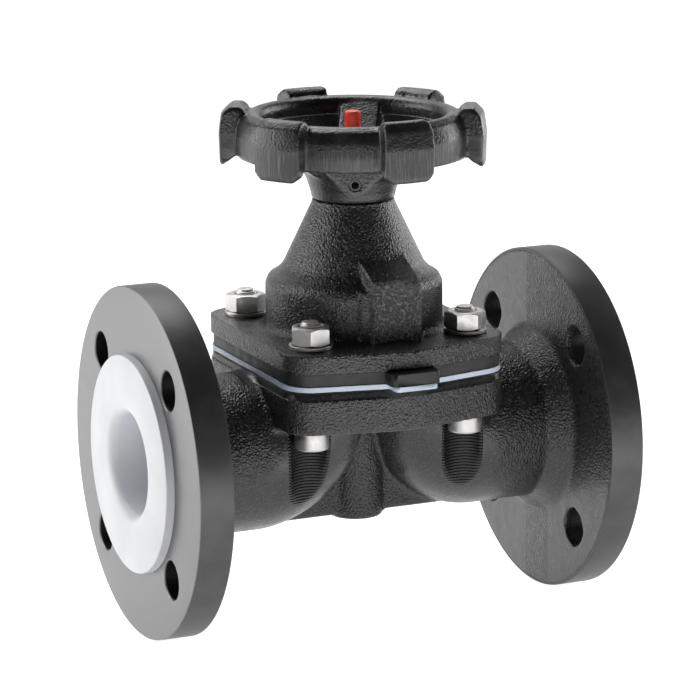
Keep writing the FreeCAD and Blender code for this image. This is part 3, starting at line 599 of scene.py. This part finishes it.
def pipe_flange(name, side):
    """A turned flange with its four chamfered bolt holes, face outwards."""
    thick, recess = FLANGE_THICK, FLANGE_RECESS
    land = FLANGE_LAND_R
    disc = turned(name, rounded([(LINER_OUTER_R, recess), (land - 0.6 * MM, recess), (land, 0), (FLANGE_R, 0),
                                 (FLANGE_R, thick), (LINER_OUTER_R, thick)], 0.7 * MM, 3), 192)
    chamfer, past = 0.7 * MM, 1 * MM
    chamfered, flared = BOLT_HOLE_R + chamfer, BOLT_HOLE_R + 1.2 * MM
    for i in range(4):
        a = math.radians(45 + 90 * i)
        hole = turned("bolt_hole", [(ON_AXIS, -past), (flared, -past), (chamfered, 0), (BOLT_HOLE_R, chamfer),
                                    (BOLT_HOLE_R, thick - chamfer), (chamfered, thick),
                                    (flared, thick + past), (ON_AXIS, thick + past)], 64)
        cut(disc, move(hole, (BOLT_CIRCLE_R * math.cos(a), BOLT_CIRCLE_R * math.sin(a), 0)))
    turn(disc, side * math.pi / 2, "Y")
    move(disc, (STEM_X + side * FLANGE_BACK, 0, 0))
    return place(smooth(disc, 30), "valve", TURNED_COAT, "coated_iron", "valve_body")


body = cast_copy("valve_body", "valve_body_casting", 1.15 * MM, 3)
for side in (-1, 1):
    cut(body, rim_cutter(side))
for side in (-1, 1):
    trim(body, FLANGE_BACK + 2.5 * MM, side)
place(body, "valve", BODY_IRON, "coated_iron", "valve_body")
pipe_flange("inlet_flange", -1)
pipe_flange("outlet_flange", 1)


# Liner

def liner_mouth(name, side):
    """The facing on a flange with the rounded mouth of the bore."""
    profile = [(BORE_R, MOUTH_DEPTH)]
    for i in range(9):
        a = math.radians(90 * i / 8)
        profile.append((BORE_R + MOUTH_LIP_R * (1 - math.cos(a)), MOUTH_LIP_R * (1 - math.sin(a))))
    profile += [(FACING_R - 0.7 * MM, 0), (FACING_R - 0.2 * MM, 0.2 * MM), (FACING_R, 0.7 * MM),
                (FACING_R, FACING_THICK), (LINER_OUTER_R, FACING_THICK), (LINER_OUTER_R, MOUTH_DEPTH)]
    mouth = turn(turned(name, profile, 160), -side * math.pi / 2, "Y")
    return smooth(move(mouth, (STEM_X + side * HALF_LENGTH, 0, 0)), 40)


liner = cast_copy("body_liner", "liner_casting", 0.9 * MM, 1)
for side in (-1, 1):
    trim(liner, HALF_LENGTH - MOUTH_DEPTH + 0.2 * MM, side)
liner = join("moulded_liner", [liner, liner_mouth("inlet_mouth", -1), liner_mouth("outlet_mouth", 1)])
place(liner, "valve", WHITE_LINER, "white_liner", "body_liner")


# Bonnet: its raised pad has two flanks and a bead that are melted into the casting

# Places in millimetres from the stem: (x, y) round each flank, and (x, y, z) along the bead.
LEFT_FLANK = [(-9.4, -45.2), (-9.8, -43.6), (-10.8, -42.6), (-12.6, -41.9), (-14.6, -41.2), (-14.0, -36.0),
              (-6.0, -36.0)]
RIGHT_FLANK = [(12.8, -45.4), (13.4, -43.2), (14.8, -41.4), (17.4, -40.0), (17.0, -34.0), (9.0, -34.0)]
BEAD = [(12.7, -45.2, 57), (12.7, -45.2, 78.5), (12.4, -41.0, 81.2)]
BEAD_R = 0.9 * MM
FLANK_TOP_Z = 79.5 * MM


def bar(start, end, radius):
    """A short round bar between two places in millimetres, to be melted into a casting."""
    a, b = Vector(start) * MM, Vector(end) * MM
    clear_selection()
    bpy.ops.mesh.primitive_cylinder_add(vertices=16, radius=radius, depth=(b - a).length + radius)
    piece = bpy.context.object
    lie = (b - a).to_track_quat("Z", "Y").to_matrix().to_4x4()
    piece.data.transform(Matrix.Translation((a + b) / 2) @ lie)
    return move(piece, (STEM_X, 0, 0))


extras = [bar(a, b, BEAD_R) for a, b in zip(BEAD, BEAD[1:])]
extras += [prism("pad_flank", [(STEM_X + x * MM, y * MM) for x, y in plan], BONNET_FLANGE_TOP_Z - 1 * MM,
                 FLANK_TOP_Z) for plan in (LEFT_FLANK, RIGHT_FLANK)]
bonnet = cast_copy("bonnet", "bonnet_casting", 0.8 * MM, 2, extras)
place(bonnet, "valve", BONNET_IRON, "coated_iron", "bonnet")


# Handwheel: the flat of its hub and the hole for its pin are cut again after the casting is softened

def hub_flat_cutter():
    out, half = 42 * MM, 15 * MM
    return prism("flat_cutter", [(HUB_FLAT, -half), (out, -half), (out, half), (HUB_FLAT, half)],
                 HUB_FOOT_Z - 1 * MM, HUB_FOOT_Z + 26 * MM)


def pin_hole_cutter():
    """The hole, 2 mm deep from its bottom to where it flares."""
    hole_r, flare_r, bottom = 2.85 * MM, 3.5 * MM, HUB_FLAT - 1.2 * MM
    hole = turned("hole_cutter", [(ON_AXIS, 0), (hole_r, 0), (hole_r, 2 * MM), (flare_r, 4 * MM),
                                  (ON_AXIS, 4 * MM)], 48)
    return move(turn(hole, math.pi / 2, "Y"), (bottom, 0, HUB_PIN_Z))


wheel = cast_copy("handwheel", "handwheel_casting", 0.8 * MM, 9)
for cutter in (hub_flat_cutter(), pin_hole_cutter()):
    cut(wheel, move(turn(cutter, HUB_PIN_TURN, "Z"), (STEM_X, 0, 0)))
place(wheel, "handwheel", WHEEL_IRON, "wheel_iron", "handwheel")


# Diaphragm: clamped rims that stay, and their domes made as separate skins

def sheet_rim(node, name):
    """The clamped part of a CAD sheet, without its dome."""
    rim = cad_copy(node, name)
    low, high = 30 * MM, 60 * MM
    hole = turned("dome_hole", [(ON_AXIS, low), (RIM_HOLE_R, low), (RIM_HOLE_R, high), (ON_AXIS, high)], 128)
    cut(rim, move(hole, (STEM_X, 0, 0)))
    with editing(rim):
        bpy.ops.mesh.select_mode(type="VERT")
        bpy.ops.mesh.select_all(action="DESELECT")
    for vertex in rim.data.vertices:
        vertex.select = math.hypot(vertex.co.x - STEM_X, vertex.co.y) < DOME_R
    bpy.ops.object.mode_set(mode="EDIT")
    bpy.ops.mesh.delete(type="VERT")
    bpy.ops.object.mode_set(mode="OBJECT")
    return smooth(rim, 30)


def sheet_dome(name, rim_z):
    """The dome of a sheet as one skin, its middle surface at rim_z where it leaves the rim."""
    rows = 24
    curve = []
    for i in range(rows + 1):
        share = i / rows
        rise = 0.5 + 0.5 * math.cos(math.pi * share)
        curve.append((max(share * (RIM_HOLE_R + 0.1 * MM), ON_AXIS), rim_z + DOME_RISE * rise))
    profile = [(r, z + SKIN / 2) for r, z in curve] + [(r, z - SKIN / 2) for r, z in reversed(curve)]
    return smooth(move(turned(name, profile), (STEM_X, 0, 0)), 40)


def diaphragm(node, name, rim_z, material, slot_name):
    """A sheet: its rim rides on the body, and its dome is made as a separate skin at rim_z."""
    place(sheet_rim(node, name + "_rim"), "valve", material, slot_name, node)
    dome = sheet_dome(name + "_dome", rim_z)
    dome.data.materials.clear()
    dome.data.materials.append(material)
    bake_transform(dome)
    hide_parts(node)


diaphragm("diaphragm_face", "face_sheet", SHEETS_LOW_Z + SKIN / 2, FACE_SHEET, "ptfe_face")
diaphragm("diaphragm_backing", "rubber_sheet", SHEETS_HIGH_Z - SKIN / 2, RUBBER, "black_rubber")


# Fasteners

def threaded_rod(name, radius, pitch, depth, z_low, z_high):
    """A rod with a helical thread, shaped from a grid of rings, with its ends chamfered."""
    around, rows_per_turn = 64, 8
    length = z_high - z_low
    rows = int(round(length / (pitch / rows_per_turn)))
    clear_selection()
    bpy.ops.mesh.primitive_cylinder_add(vertices=around, radius=radius, depth=length, end_fill_type="NGON")
    rod = move(bpy.context.object, (0, 0, (z_low + z_high) / 2))
    rod.name = name
    rod.data.name = name
    with editing(rod):
        for i in range(1, rows):
            bpy.ops.mesh.select_all(action="SELECT")
            bpy.ops.mesh.bisect(plane_co=(0, 0, z_low + length * i / rows), plane_no=(0, 0, 1))
    chamfer = depth * 1.4
    for vertex in rod.data.vertices:
        r = math.hypot(vertex.co.x, vertex.co.y)
        if r < radius * 0.5:
            continue
        turns = math.atan2(vertex.co.y, vertex.co.x) / (2 * math.pi)
        phase = (vertex.co.z / pitch - turns) % 1.0
        groove = depth * min(1.0, max(0.0, 1.5 - abs(phase - 0.5) * 4))
        to_end = min(vertex.co.z - z_low, z_high - vertex.co.z)
        scale = (radius - max(groove, chamfer - to_end)) / r
        vertex.co.x *= scale
        vertex.co.y *= scale
    return smooth(rod, 40)


def screw_shape():
    """A socket head screw, head down: ring and socket of the head, shank, thread and stepped end."""
    head_z, end = SCREW_HEAD_Z, SCREW_END_Z
    under = head_z + SCREW_HEAD_HEIGHT
    ring_inner, core_r, shank_r = 4.3 * MM, 5.2 * MM, 5 * MM
    socket_corner, socket_floor = 4.75 * MM, head_z + 5 * MM
    shank_top = BONNET_FLANGE_TOP_Z + 1.5 * MM
    head = turned("screw_head", rounded([(ring_inner, head_z), (SCREW_HEAD_R, head_z), (SCREW_HEAD_R, under),
                                         (ring_inner, under)], 1.3 * MM), 64)
    core = turned("screw_core", [(ON_AXIS, socket_floor), (core_r, head_z + 0.8 * MM),
                                 (core_r, under - 0.4 * MM), (ON_AXIS, under - 0.4 * MM)], 64)
    cut(core, prism("socket_wall", hexagon(socket_corner), head_z - 1 * MM, socket_floor))
    shank = turned("screw_shank", [(ON_AXIS, under - 0.5 * MM), (shank_r, under - 0.5 * MM),
                                   (shank_r, shank_top), (ON_AXIS, shank_top)], 48)
    thread = threaded_rod("screw_thread", SCREW_R, SCREW_PITCH, THREAD_DEPTH, BONNET_FLANGE_TOP_Z + 1 * MM,
                          NUT_HIGH_Z + 0.2 * MM)
    step = turned("screw_end", rounded([(ON_AXIS, end - 2.5 * MM), (4.9 * MM, end - 2.5 * MM),
                                        (4.9 * MM, end - 1.2 * MM), (4.1 * MM, end - 1 * MM),
                                        (3.9 * MM, end - 0.1 * MM), (ON_AXIS, end)], 0.35 * MM), 48)
    return smooth(join("screw", [smooth(head), core, shank, thread, step]), 35)


def nut_shape():
    """A hexagon nut with turned crowns and a chamfered hole."""
    low, high = NUT_LOW_Z, NUT_HIGH_Z
    corner = NUT_ACROSS / math.sqrt(3)
    hole_r, mouth_r, past = 5 * MM, 6 * MM, 1 * MM
    nut = prism("nut", hexagon(corner), low, high)
    crown = turned("nut_crown", [(ON_AXIS, low), (7.8 * MM, low), (8.4 * MM, low + 0.1 * MM),
                                 (corner + 0.1 * MM, low + 1.0 * MM), (corner + 0.1 * MM, high - 1.1 * MM),
                                 (8.2 * MM, high - 0.14 * MM), (7.6 * MM, high), (ON_AXIS, high)], 96)
    cut(nut, crown, "INTERSECT")
    hole = turned("nut_hole", [(ON_AXIS, low - past), (mouth_r, low - past), (mouth_r, low),
                               (hole_r, low + 1 * MM), (hole_r, high - 1 * MM), (mouth_r, high),
                               (mouth_r, high + past), (ON_AXIS, high + past)], 64)
    cut(nut, hole)
    return smooth(nut, 24)


def washer_shape():
    low, high = BONNET_FLANGE_TOP_Z, NUT_LOW_Z
    section = [(WASHER_HOLE_R, low), (WASHER_R, low), (WASHER_R, high), (WASHER_HOLE_R, high)]
    return smooth(turned("washer", rounded(section, 0.35 * MM), 72), 40)


def one_per_screw(shape, name, node):
    """A copy of the shape at each screw, each turned its own way, as one group."""
    copies = []
    for i, ((x, y), degrees) in enumerate(zip(SCREW_PLACES, SCREW_TURNS)):
        twin = turn(copy_of(shape, "%s_%d" % (name, i + 1)), math.radians(degrees), "Z")
        copies.append(move(twin, (x, y, 0)))
    bpy.data.objects.remove(shape)
    return place(join(name, copies), "valve", STAINLESS, "stainless", node)


one_per_screw(screw_shape(), "socket_screws", "cap_screws")
one_per_screw(nut_shape(), "nuts", "hex_nuts")
one_per_screw(washer_shape(), "flat_washers", "washers")


# Floor, light and camera

FLOOR_Z = -FLANGE_R
YAW, PITCH, ROLL = -0.4115, 0.2313, -0.0072
TARGET, DISTANCE = Vector((112.80 * MM, 0, 42.89 * MM)), 1.5996
LENS, SENSOR = 174.18, 36    # millimetres
TO_CAMERA = Vector((math.sin(YAW) * math.cos(PITCH), -math.cos(YAW) * math.cos(PITCH), math.sin(PITCH)))

clear_selection()
bpy.ops.mesh.primitive_plane_add(size=8, location=(STEM_X, 0, FLOOR_Z))
floor = bpy.context.object
floor.name = "floor"
paper = Look("paper")
paper.set("Base Color", grey(0.45))
paper.set("Roughness", 0.9)
paper.set("Emission Color", grey(1.0))
paper.set("Emission Strength", 0.95)
floor.data.materials.append(paper.material)


def studio():
    """A world that is white behind the valve and falls to near black on all other sides."""
    world = bpy.data.worlds.new("studio")
    bpy.context.scene.world = world
    world.use_nodes = True
    tree = world.node_tree
    direction = tree.nodes.new("ShaderNodeTexCoord")
    towards_backdrop = tree.nodes.new("ShaderNodeVectorMath")
    towards_backdrop.operation = "DOT_PRODUCT"
    towards_backdrop.inputs[1].default_value = -TO_CAMERA
    strength = tree.nodes.new("ShaderNodeMapRange")
    strength.interpolation_type = "SMOOTHSTEP"
    for key, value in (("From Min", 0.55), ("From Max", 0.93), ("To Min", 0.02), ("To Max", 1.0)):
        strength.inputs[key].default_value = value
    background = tree.nodes["Background"]
    background.inputs["Color"].default_value = (1, 1, 1, 1)
    tree.links.new(direction.outputs["Generated"], towards_backdrop.inputs[0])
    tree.links.new(towards_backdrop.outputs["Value"], strength.inputs["Value"])
    tree.links.new(strength.outputs["Result"], background.inputs["Strength"])


def lamp(name, place_at, size, watts, aim=(STEM_X, 0, 30 * MM)):
    data = bpy.data.lights.new(name, "AREA")
    data.shape = "RECTANGLE"
    data.size, data.size_y = size
    data.energy = watts
    light = bpy.data.objects.new(name, data)
    bpy.context.scene.collection.objects.link(light)
    light.location = place_at
    light.rotation_euler = (Vector(aim) - Vector(place_at)).to_track_quat("-Z", "Y").to_euler()
    return light


def camera():
    data = bpy.data.cameras.new("camera")
    data.sensor_width = SENSOR
    data.lens = LENS
    eye = bpy.data.objects.new("camera", data)
    bpy.context.scene.collection.objects.link(eye)
    eye.location = TARGET + TO_CAMERA * DISTANCE
    tilt = Matrix.Rotation(ROLL, 3, "Z").to_quaternion()
    eye.rotation_euler = (TO_CAMERA.to_track_quat("Z", "Y") @ tilt).to_euler()
    bpy.context.scene.camera = eye


studio()
lamp("left_panel", (STEM_X - 1.05, 0.55, 0.25), (1.1, 1.3), 15.0)
lamp("right_panel", (STEM_X + 1.20, 0.20, 0.22), (0.9, 1.1), 11.0)
lamp("top_panel", (0.1, 0.70, 1.1), (1.2, 0.6), 10.0)
lamp("floor_panel", (0.125, -0.62, FLOOR_Z + 1 * MM), (0.95, 0.68), 3.8, aim=(0.125, -0.62, 1.0))
camera()
bpy.context.scene.view_settings.view_transform = "Standard"
